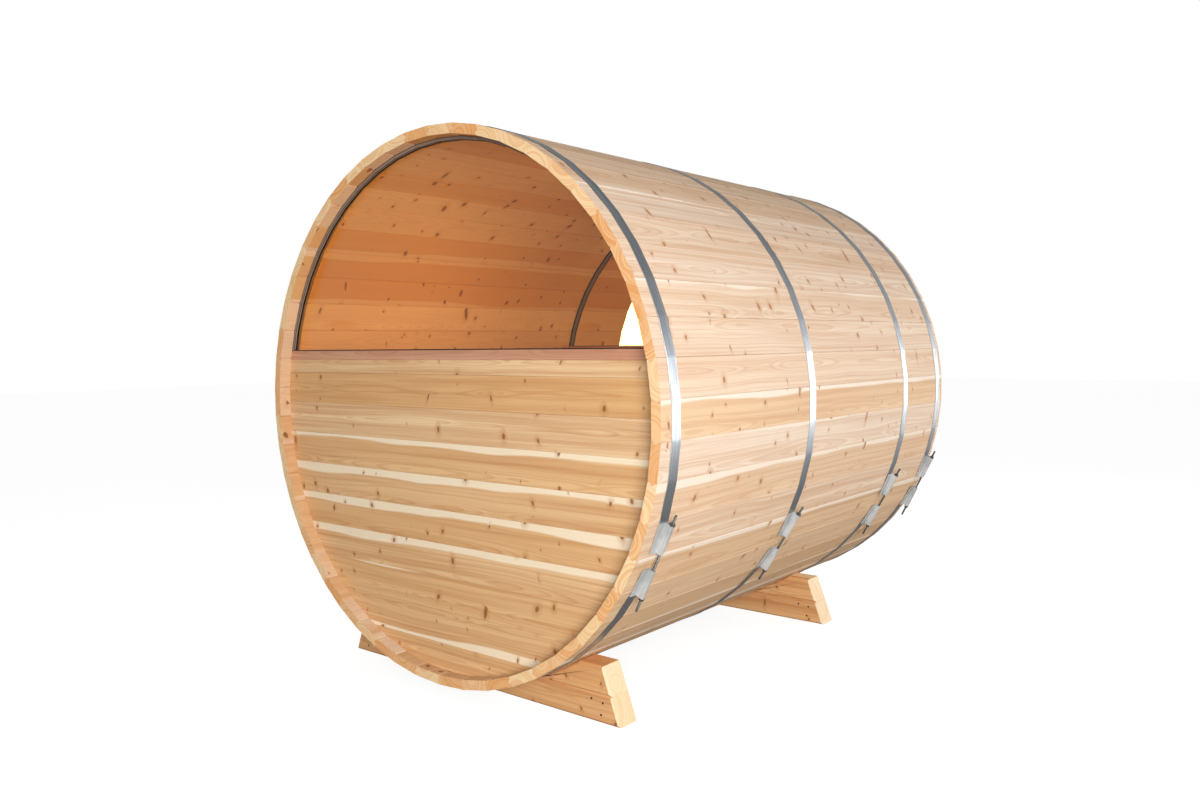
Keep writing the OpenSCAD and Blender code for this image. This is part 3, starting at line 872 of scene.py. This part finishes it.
class Shape:
    """Points and faces of a piece that isn't timber, with a place along its run for brushed grain."""

    def __init__(self, name):
        self.name = name
        self.points, self.faces, self.runs = [], [], []

    def ring_stack(self, rings, runs=None):
        count = len(rings[0])
        start = len(self.points)
        for number, ring in enumerate(rings):
            self.points += ring
            self.runs += runs[number] if runs else [tuple(q) for q in ring]
        for level in range(len(rings) - 1):
            a, b = start + level * count, start + (level + 1) * count
            for i in range(count):
                j = (i + 1) % count
                self.faces.append((a + i, a + j, b + j, b + i))
        last = start + (len(rings) - 1) * count
        self.faces.append(tuple(start + i for i in reversed(range(count))))
        self.faces.append(tuple(last + i for i in range(count)))

    def turn(self, origin, axis, profile, sides=24, thread=None):
        """Sweeps (distance, radius) pairs round an axis; thread is (pitch, depth)."""
        axis = Vector(axis).normalized()
        side = axis.orthogonal().normalized()
        other = axis.cross(side)
        rings = []
        for distance, radius in profile:
            ring = []
            for i in range(sides):
                angle = math.tau * i / sides
                r = radius
                if thread:
                    wave = (distance / thread[0] - i / sides) % 1
                    r += thread[1] * (abs(wave * 2 - 1) - 0.5)
                ring.append(tuple(Vector(origin) + axis * distance
                                  + (side * math.cos(angle) + other * math.sin(angle)) * r))
            rings.append(ring)
        self.ring_stack(rings)

    def build(self, material, slot, *nodes, smooth=False):
        mesh = bpy.data.meshes.new(self.name)
        mesh.from_pydata([tuple(q) for q in self.points], [], self.faces)
        made = mesh.attributes.new("run", "FLOAT_VECTOR", "POINT")
        made.data.foreach_set("vector", [c for v in self.runs for c in v])
        mesh.materials.append(material)
        if smooth:
            mesh.shade_smooth()
            mesh.set_sharp_from_angle(angle=math.radians(35))
        piece = bpy.data.objects.new(self.name, mesh)
        scene.collection.objects.link(piece)
        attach(piece, "root")
        if nodes:
            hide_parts(*nodes)
        print(f"{self.name}: {len(self.faces)} faces")
        return piece


print("turned shapes ready")

# %% [markdown]
# ## Metal finishes
# The hoops are bright rolled strap: rolling leaves fine lines along the strap, so the scratches
# follow the hoop's own run and not the room. The lugs are dull zinc with a faint spangle, and the
# rods are plain darker steel.

# %% Metals


def metal(name, light, dark, roughness, line_scale, bump, blotch=0.25, rough_play=0.12, metallic=1.0):
    p = Paint(name)
    run = p.parts(p.attribute("run"))
    lines = p.noise(p.vector(run[0] * 3, run[1] * line_scale, run[2] * line_scale), 1.0, 3.0, 0.6)
    cloud = p.noise(p.vector(run[0] * 6, run[1] * 14, run[2] * 14), 1.0, 3.0, 0.6)
    shade = (lines.step(0.35, 0.7) * (1 - blotch)) + cloud.step(0.3, 0.7) * blotch
    p.set(Base_Color=p.blend(shade, colour(*dark), colour(*light)), Metallic=metallic,
          Roughness=roughness + (1 - shade) * rough_play)
    p.bump(lines, bump, 0.4)
    print("metal finish", name)
    return p.material


hoop_metal = metal("hoop_metal", (214, 218, 222), (136, 143, 150), 0.26, 700, 0.0003, rough_play=0.22)
lug_metal = metal("lug_metal", (222, 222, 220), (168, 170, 170), 0.5, 160, 0.0002, 0.75, metallic=0.35)
rod_metal = metal("rod_metal", (150, 148, 144), (96, 94, 90), 0.4, 300, 0.0001, 0.5)
screw_metal = metal("screw_metal", (92, 84, 74), (50, 44, 38), 0.5, 300, 0.0001, 0.6)

# %% [markdown]
# ## Cradle screws
# Three screws pin each end of a lower beam. A head is a shallow cone, with its rim flush with the
# wood and its middle 0.1 mm proud.

# %% Cradle screws
SCREW_R = 0.0045
SCREW_SPOTS = ((0.075, 0.03), (0.05, 0.075), (0.1, 0.082))    # in from the end, up from the ground
screws = Shape("cradle_screws")
for cradle in ("near", "far"):
    low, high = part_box(f"cradle_{cradle}_lower")
    for side in (-1, 1):
        for inward, up_by in SCREW_SPOTS:
            spot = (side * (end_x(up_by) - inward), low.y - 0.0001, up_by)
            screws.turn(spot, (0, 1, 0), [(0, SCREW_R * 0.45), (0.0001, SCREW_R), (0.004, SCREW_R * 0.5)], 14)
screws.build(screw_metal, "rod_metal")

# %% [markdown]
# ## Hoops
# A hoop is strap bent at each stave joint and flat between. It is lofted from a small rounded
# rectangle at two stations a joint, which leaves the short bend that real strap shows. The loft
# leaves out the gap between the lugs.

# %% Hoops
HOOPS = (1, 2, 3, 4)
HOOP_GAP = 0.0002
HOOP_T = 0.002
STRAP_ARRIS = 0.0006
BEND = math.radians(0.35)
LUG_LEN, LUG_GAP_LEN, LUG_T = 0.112, 0.062, 0.003       # the gap is between a hoop's two lugs
ROD_R, ROD_HEIGHT, SLEEVE_R = 0.005, 0.016, 0.009       # the height is over the staves' corners
STRAP_OUT = OUTER_R + HOOP_GAP + HOOP_T
LUG_HALF_ANGLE = math.asin(LUG_LEN / 2 / STRAP_OUT)
LUG_ANGLE = math.asin((LUG_GAP_LEN + LUG_LEN) / 2 / STRAP_OUT)


def hoop_band(number):
    """Middle and width of a hoop, along the barrel."""
    low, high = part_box(f"hoop_{number}")
    return (low.y + high.y) / 2, high.y - low.y


def buckle_angle(number):
    """Angle of the middle of a hoop's buckle, from the middle of its lugs' box."""
    low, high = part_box(f"hoop_{number}_lugs")
    return math.atan2((low.z + high.z) / 2 - AXIS_Z, (low.x + high.x) / 2)


def joint_offset(angle):
    """Angle from the middle of the nearest stave."""
    part = ((math.pi / 2 - angle) / PITCH) % 1 - 0.5
    return part * PITCH


def strap_outline(width):
    half_w, t, a = width / 2, HOOP_T, STRAP_ARRIS
    return [(-half_w + a, 0), (half_w - a, 0), (half_w, a), (half_w, t - a), (half_w - a, t),
            (-half_w + a, t), (-half_w, t - a), (-half_w, a)]


def add_strap(shape, y, width, start, end):
    angles = [start]
    joint = math.floor((math.pi / 2 - start) / PITCH)
    while True:
        at = math.pi / 2 - joint * PITCH
        for bend in (at - BEND, at + BEND):
            if start < bend < end:
                angles.append(bend)
        if at > end:
            break
        joint -= 1
    angles.append(end)
    rings, runs = [], []
    for angle in angles:
        r = (FLAT_R + HOOP_GAP) / math.cos(joint_offset(angle))
        ring = [(polar(r + up_by, angle), along) for along, up_by in strap_outline(width)]
        rings.append([(x, y + along, AXIS_Z + z) for (x, z), along in ring])
        runs.append([(angle * OUTER_R, y + along, up_by) for along, up_by in strap_outline(width)])
    shape.ring_stack(rings, runs)


for number in HOOPS:
    strap = Shape(f"hoop_{number}_strap")
    open_angle = LUG_ANGLE - LUG_HALF_ANGLE / 3
    middle = buckle_angle(number)
    add_strap(strap, *hoop_band(number), middle + open_angle, middle - open_angle + math.tau)
    strap.build(hoop_metal, "hoop_metal", f"hoop_{number}", smooth=True)

# %% [markdown]
# ## Lugs
# Each lug is a piece of sheet folded over itself: flat on the strap, then curled round the rod. The
# rod is straight and the barrel is not, so the curl stands higher at the lug's outer end. Drawing
# the fold as an outline at each station and lofting it along the rod gives that slope for nothing.

# %% Lugs
CURL_STEPS = 10
LUG_STATIONS = 6
ROD_PLAY, FOLD_GAP = 0.0006, 0.0003
LUG_SPREAD = 0.002                                      # a lug is that much wider than its strap


def strap_height(angle):
    return (FLAT_R + HOOP_GAP) / math.cos(joint_offset(angle)) + HOOP_T


def lug_seat(face):
    offsets = [s * LUG_HALF_ANGLE / 8 for s in range(-8, 9)]
    return HOOP_GAP + max(strap_height(face + d) * math.cos(d) for d in offsets)


def fold_outline(rod_y, rise, width):
    """Sheet outline across the lug: (along Y, up from the strap); rise is the rod's height."""
    inner, outer = ROD_R + ROD_PLAY, SLEEVE_R
    over = [math.pi * i / CURL_STEPS for i in range(CURL_STEPS + 1)]
    outside = [(rod_y + outer * math.cos(a), rise + outer * math.sin(a)) for a in over]
    inside = [(rod_y + inner * math.cos(a), rise + inner * math.sin(a)) for a in reversed(over)]
    return ([(-width / 2, 0), (rod_y + outer - 0.002, 0), (rod_y + outer, 0.002)] + outside
            + [(rod_y - outer, LUG_T + FOLD_GAP), (rod_y - inner, LUG_T + FOLD_GAP)] + inside
            + [(rod_y + inner, LUG_T), (-width / 2 + 0.001, LUG_T), (-width / 2, LUG_T - 0.001)])


def rod_line(number):
    """A point of the rod and its direction, across the barrel and up from the axis."""
    middle = buckle_angle(number)
    return Vector(polar(OUTER_R + ROD_HEIGHT, middle)), Vector((-math.sin(middle), math.cos(middle)))


def add_lug(shape, number, side):
    y, strap_width = hoop_band(number)
    rod_y = strap_width / 2 - SLEEVE_R
    face = buckle_angle(number) + side * LUG_ANGLE
    out = Vector((math.cos(face), math.sin(face)))
    climb = Vector((-out.y, out.x))
    rod_start, rod_climb = rod_line(number)
    rings, runs = [], []
    for step in range(LUG_STATIONS + 1):
        run = LUG_LEN * (step / LUG_STATIONS - 0.5)
        base = out * lug_seat(face) + climb * run
        along_rod = (base - rod_start).dot(climb) / rod_climb.dot(climb)
        rise = (rod_start + rod_climb * along_rod - base).dot(out)
        outline = fold_outline(rod_y, rise, strap_width + LUG_SPREAD)
        rings.append([(base.x + out.x * v, y + u, AXIS_Z + base.y + out.y * v) for u, v in outline])
        runs.append([(run + number, u, v) for u, v in outline])
    shape.ring_stack(rings, runs)


for number in HOOPS:
    lugs = Shape(f"hoop_{number}_folded_lugs")
    add_lug(lugs, number, 1)
    add_lug(lugs, number, -1)
    lugs.build(lug_metal, "lug_metal", f"hoop_{number}_lugs", smooth=True)

# %% [markdown]
# ## Tensioning rods
# Turning the nuts on these rods pulls the barrel tight. The thread is real geometry: the radius
# rises and falls once a pitch and shifts by one turn of the ring, which is all a helix is. Nuts get
# their chamfers, and a washer spreads them on the lug.

# %% Rods
THREAD_PITCH, THREAD_DEPTH = 0.002, 0.0009
ROD_SIDES = 10
NUT_H, NUT_R, WASHER_R, WASHER_T = 0.008, 0.0095, 0.0105, 0.0015
WASHER_GAP = 0.0004


def rod_ends(number):
    """How far a rod runs down and up its line, from its box, which it crosses corner to corner."""
    start, climb = rod_line(number)
    low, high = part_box(f"hoop_{number}_rod")
    pad = ROD_R * abs(math.sin(buckle_angle(number)))
    return (low.z + pad - AXIS_Z - start.y) / climb.y, (high.z - pad - AXIS_Z - start.y) / climb.y


for number in HOOPS:
    start, climb = rod_line(number)
    down_run, up_run = rod_ends(number)
    y, strap_width = hoop_band(number)
    middle_spot = Vector((start.x, y + strap_width / 2 - SLEEVE_R, AXIS_Z + start.y))
    axis = Vector((climb.x, 0, climb.y))
    length = up_run - down_run
    rings = int(length / THREAD_PITCH * 4)
    root_r = ROD_R - THREAD_DEPTH / 2
    profile = [(0, root_r * 0.8)] + [(length * (i + 0.5) / rings, root_r) for i in range(rings)]
    rod = Shape(f"hoop_{number}_threaded_rod")
    rod.turn(middle_spot + axis * down_run, axis, profile + [(length, root_r * 0.8)], ROD_SIDES,
             thread=(THREAD_PITCH, THREAD_DEPTH))
    lug_end = LUG_GAP_LEN / 2 + LUG_LEN + WASHER_GAP
    for side in (1, -1):
        seat = middle_spot + axis * side * lug_end
        rod.turn(seat, axis * side, [(0, WASHER_R), (WASHER_T, WASHER_R)], 20)
        nut = [(WASHER_T, NUT_R * 0.88), (WASHER_T + 0.001, NUT_R), (WASHER_T + NUT_H - 0.001, NUT_R),
               (WASHER_T + NUT_H, NUT_R * 0.86)]
        rod.turn(seat, axis * side, nut, 6)
    rod.build(rod_metal, "rod_metal", f"hoop_{number}_rod")

# %% [markdown]
# ## Gaskets
# The panes are held by a rubber channel let into the crozes. Rubber follows the flats of the
# staves, so the channel is lofted with a station at each stave joint. Its outline is a U: two lips
# with the pane between. A dark line is painted along each lip's edge, in the slot and where the channel
# enters the croze: painted shade of those creases.

# %% Gasket finish
WORN = 0.8                                              # the darker patches' share of the face's light


def rubber(name, face, line):
    p = Paint(name)
    run = p.parts(p.attribute("run"))
    grain = p.noise(p.vector(run[0] * 40, run[1] * 500, run[2] * 500), 1.0, 3.0)
    # The dark line colour goes on the marked points along the lip's edge, in the slot and at the let-in:
    # painted shade of the creases where pane, rubber and croze meet.
    painted_crease_shade = run[2].step(0.35, 0.75)
    worn = (*(WORN * c for c in colour(*face)[:3]), 1)
    body = p.blend(grain.step(0.3, 0.7) * 0.5, colour(*face), worn)
    p.set(Base_Color=p.blend(painted_crease_shade, body, colour(*line)), Roughness=0.55 + grain * 0.2)
    p.bump(grain, 0.0001, 0.5)
    print("rubber finish", name)
    return p.material


gasket_rubber = rubber("gasket_rubber", (140, 120, 106), (38, 32, 28))

# %% [markdown]
# ## The channel's outline
# Only the front half of the U is drawn, and the back half is its mirror image. A third number marks
# the points that get a dark line of painted shade, and rides along as an attribute that the rubber finish
# reads.

# %% Channel and strip
gasket_low, gasket_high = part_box("window_wall_gasket")
GASKET_DEPTH = gasket_high.y - gasket_low.y
LIP, LET_IN = 0.014, 0.008                              # how far it stands out, and goes in
GLASS_T, GLASS_PLAY = 0.008, 0.0003
STRIP_H, STRIP_ARRIS, STRIP_SEAT = 0.0036, 0.0008, 0.0015
slot_low = (GASKET_DEPTH - GLASS_T) / 2 - GLASS_PLAY
slot_high = GASKET_DEPTH - slot_low


def channel_outline():
    """(up from the stave's face towards the axis, along Y, 1 where a dark line of painted shade goes)."""
    base = -LET_IN
    front = [(base, 0.0008, 1), (0.0006, 0.0008, 1), (0.0014, 0, 0), (LIP - 0.0022, 0, 0),
             (LIP - 0.0012, 0.0003, 1), (LIP, 0.0015, 1), (LIP, 0.0023, 0), (LIP, slot_low - 0.001, 0),
             (LIP, slot_low, 1), (0.001, slot_low, 1)]
    back = [(up_by, GASKET_DEPTH - y, mark) for up_by, y, mark in reversed(front)]
    return front + back


def add_channel(shape, y0, start, end):
    """A channel along the staves between two angles, with a station at each stave joint."""
    joints = [math.pi / 2 - k * PITCH for k in range(-STAVES, STAVES)]
    angles = [start] + [a for a in sorted(joints) if start < a < end] + [end]
    rings, runs = [], []
    for angle in angles:
        stretch = 1 / math.cos(joint_offset(angle))
        ring, run = [], []
        for up_by, y, mark in channel_outline():
            x, z = polar((INNER_FLAT - up_by) * stretch, angle)
            ring.append((x, y0 + y, AXIS_Z + z))
            run.append((angle * INNER_FLAT, y, float(mark)))
        rings.append(ring)
        runs.append(run)
    shape.ring_stack(rings, runs)


def add_sill_strip(shape, y0, x0, x1):
    """The low seal between the sill rail and the pane."""
    h, a, depth = STRIP_H, STRIP_ARRIS, GASKET_DEPTH
    z = AXIS_Z + SILL_TOP + GLASS_PLAY
    outline = [(0, a), (a, 0), (h - a, 0), (h, a), (h, slot_low), (STRIP_SEAT, slot_low),
               (STRIP_SEAT, slot_high), (h, slot_high), (h, depth - a), (h - a, depth), (a, depth),
               (0, depth - a)]
    rings, runs = [], []
    for x in (x0, x1):
        rings.append([(x, y0 + y, z + up_by) for up_by, y in outline])
        # Every point carries 1, so the whole strip takes the dark line colour: the seal's own rubber, with
        # painted shade of the gap under the pane.
        runs.append([(x, y, 1.0) for _, y in outline])
    shape.ring_stack(rings, runs)


print("gasket", GASKET_DEPTH, "deep, outline of", len(channel_outline()), "points")

# %% [markdown]
# ## Gaskets in place
# One channel runs over the window's arch, and one over each pane beside the door. A strip seals
# each pane's straight foot.

# %% Gaskets
lip_r = INNER_FLAT - LIP
sill_angle = math.asin((SILL_TOP + 0.001) / INNER_FLAT)
strip_reach = math.sqrt(lip_r ** 2 - SILL_TOP ** 2) + 0.004
window_gasket = Shape("window_gasket_channel")
add_channel(window_gasket, gasket_low.y, sill_angle, math.pi - sill_angle)
add_sill_strip(window_gasket, gasket_low.y, -strip_reach, strip_reach)
window_gasket.build(gasket_rubber, "gasket", "window_wall_gasket")
door_gasket_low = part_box("door_wall_gaskets")[0]
frame_angle = math.acos(edge / INNER_FLAT)
door_gasket = Shape("door_gasket_channels")
for start, end, x0, x1 in ((sill_angle, frame_angle, edge, strip_reach),
                           (math.pi - frame_angle, math.pi - sill_angle, -strip_reach, -edge)):
    add_channel(door_gasket, door_gasket_low.y, start, end)
    add_sill_strip(door_gasket, door_gasket_low.y, x0, x1)
door_gasket.build(gasket_rubber, "gasket", "door_wall_gaskets")

# %% [markdown]
# ## Bronze glass
# The panes are bronze tinted. A true refracting glass would leave the cabin nearly dark, because
# lamps can't be found through it. A flat pane bends nothing we could see, so each face simply tints
# what is behind it and adds a mirror that grows at grazing angles. The tint acts once for each
# face, so it is the square root of the pane's own colour.

# %% Glass
PANE_TINT = (0.95, 0.74, 0.44)


def pane_glass(name, pane_tint):
    p = Paint(name)
    p.tree.nodes.remove(p.shader)
    through = p.node("ShaderNodeBsdfTransparent", sockets=[(*(c ** 0.5 for c in pane_tint), 1)])
    gloss = p.node("ShaderNodeBsdfGlossy", sockets={"Color": (1, 1, 1, 1), "Roughness": 0.01})
    facing = p.node("ShaderNodeLayerWeight", sockets={"Blend": 0.5}, out="Facing")
    p.show(facing ** 5 * 0.9 + 0.03, through, gloss)
    print("glass", name, pane_tint)
    return p.material


bronze = pane_glass("bronze_glass", PANE_TINT)
for node in ("window_wall_glass", "door_wall_glass", "door_glass"):
    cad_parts[node].data.materials.clear()
    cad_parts[node].data.materials.append(bronze)

# %% [markdown]
# ## Hinges
# A butt hinge is two plates and a knuckle cut into five barrels. The plates get a small bevel all
# round, and each is held by three domed screws. The measures come from the design node's own box.

# %% Hinges
PLATE_T, KNUCKLE_R, HINGE_H = 0.003, 0.006, 0.09
KNUCKLES = 5
DOMED_HEAD = ((-0.0002, 0.0042), (0.0004, 0.0042), (0.0011, 0.003), (0.0014, 0.001))
hinge_steel = metal("hinge_metal", (206, 208, 208), (158, 162, 164), 0.38, 200, 0.0001, 0.5)
hinge_low, hinge_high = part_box("door_hinges")
jamb_face = jamb_high.y + FRAME_SLIP
leaf_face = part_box("door_stiles")[1].y + FRAME_SLIP
hinge_axis_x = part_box("door_stiles")[0].x - 0.0015


def add_plate(shape, x0, x1, y0, z, bevel=0.0006):
    rings = []
    for y, cut in ((y0, 0), (y0 + PLATE_T - bevel, 0), (y0 + PLATE_T, bevel)):
        half_h = HINGE_H / 2 - cut
        rings.append([(x1 - cut, y, z - half_h), (x1 - cut, y, z + half_h), (x0 + cut, y, z + half_h),
                      (x0 + cut, y, z - half_h)])
    shape.ring_stack(rings)
    for step in (-1, 0, 1):
        spot = ((x0 + x1) / 2 + 0.006 * (step % 2), y0 + PLATE_T, z + step * HINGE_H / 3)
        shape.turn(spot, (0, 1, 0), DOMED_HEAD, 16)


hinges = Shape("door_butt_hinges")
for z in (hinge_low.z + HINGE_H / 2, hinge_high.z - HINGE_H / 2):
    add_plate(hinges, hinge_low.x, hinge_axis_x, jamb_face, z)
    add_plate(hinges, hinge_axis_x + 0.003, hinge_high.x, leaf_face, z)
    for number in range(KNUCKLES):
        part = HINGE_H / KNUCKLES
        spot = (hinge_axis_x, jamb_face + KNUCKLE_R, z - HINGE_H / 2 + number * part)
        profile = [(0.0002, KNUCKLE_R - 0.0005), (0.0007, KNUCKLE_R), (part - 0.0007, KNUCKLE_R),
                   (part - 0.0002, KNUCKLE_R - 0.0005)]
        hinges.turn(spot, (0, 0, 1), profile, 24)
hinges.build(hinge_steel, "hinge_metal", "door_hinges", smooth=True)

# %% [markdown]
# ## Handles
# Each face of the door has a turned cedar bar on two pegs, because bare metal would burn a hand in
# a hot cabin. The bar swells a little at its middle and is rounded at its ends.

# %% Door handles
GRIP_R, PEG_R, PEG_IN = 0.014, 0.010, 0.045
PEG_SIDES = 24
SWELL_AT = (0.1, 0.25, 0.4, 0.5, 0.6, 0.75, 0.9)


def add_turned(timber, origin, axis, profile, rng, tone):
    axis = Vector(axis)
    side = axis.orthogonal().normalized()
    other = axis.cross(side)
    rings, logs = [], []
    start = rng.uniform(0, 40)
    for distance, radius in profile:
        turned = [(math.cos(math.tau * i / PEG_SIDES) * radius, math.sin(math.tau * i / PEG_SIDES) * radius)
                  for i in range(PEG_SIDES)]
        rings.append([tuple(Vector(origin) + axis * distance + side * u + other * v) for u, v in turned])
        logs.append([(distance + start, u + 0.02, v + 0.04) for u, v in turned])
    timber.loft(rings, logs, rng.random(), tone)


handles = Timber("door_bar_handles")
handle_dice = random.Random(3)
for low, high in solids_of("door_handle"):
    outside = low.y > leaf_face - 0.01
    x = (low.x + high.x) / 2
    face = low.y if outside else high.y
    away = 1 if outside else -1
    grip_y = (high.y - GRIP_R) if outside else (low.y + GRIP_R)
    length = high.z - low.z
    swell = [(length * t, GRIP_R * (0.93 + 0.07 * math.sin(math.pi * t))) for t in SWELL_AT]
    tip = [(0, GRIP_R * 0.6), (0.002, GRIP_R * 0.84), (0.006, GRIP_R * 0.93)]
    grip = tip + swell + [(length - distance, radius) for distance, radius in reversed(tip)]
    add_turned(handles, (x, grip_y, low.z), (0, 0, 1), grip, handle_dice, 0.8)
    reach = abs(grip_y - face)
    for z in (low.z + PEG_IN, high.z - PEG_IN):
        peg = [(0, PEG_R), (0.003, PEG_R), (0.008, PEG_R * 0.8), (reach - 0.006, PEG_R * 0.8)]
        add_turned(handles, (x, face, z), (0, away, 0), peg, handle_dice, 0.7)
handles.build(door_wood, "door_cedar", "door_handle")
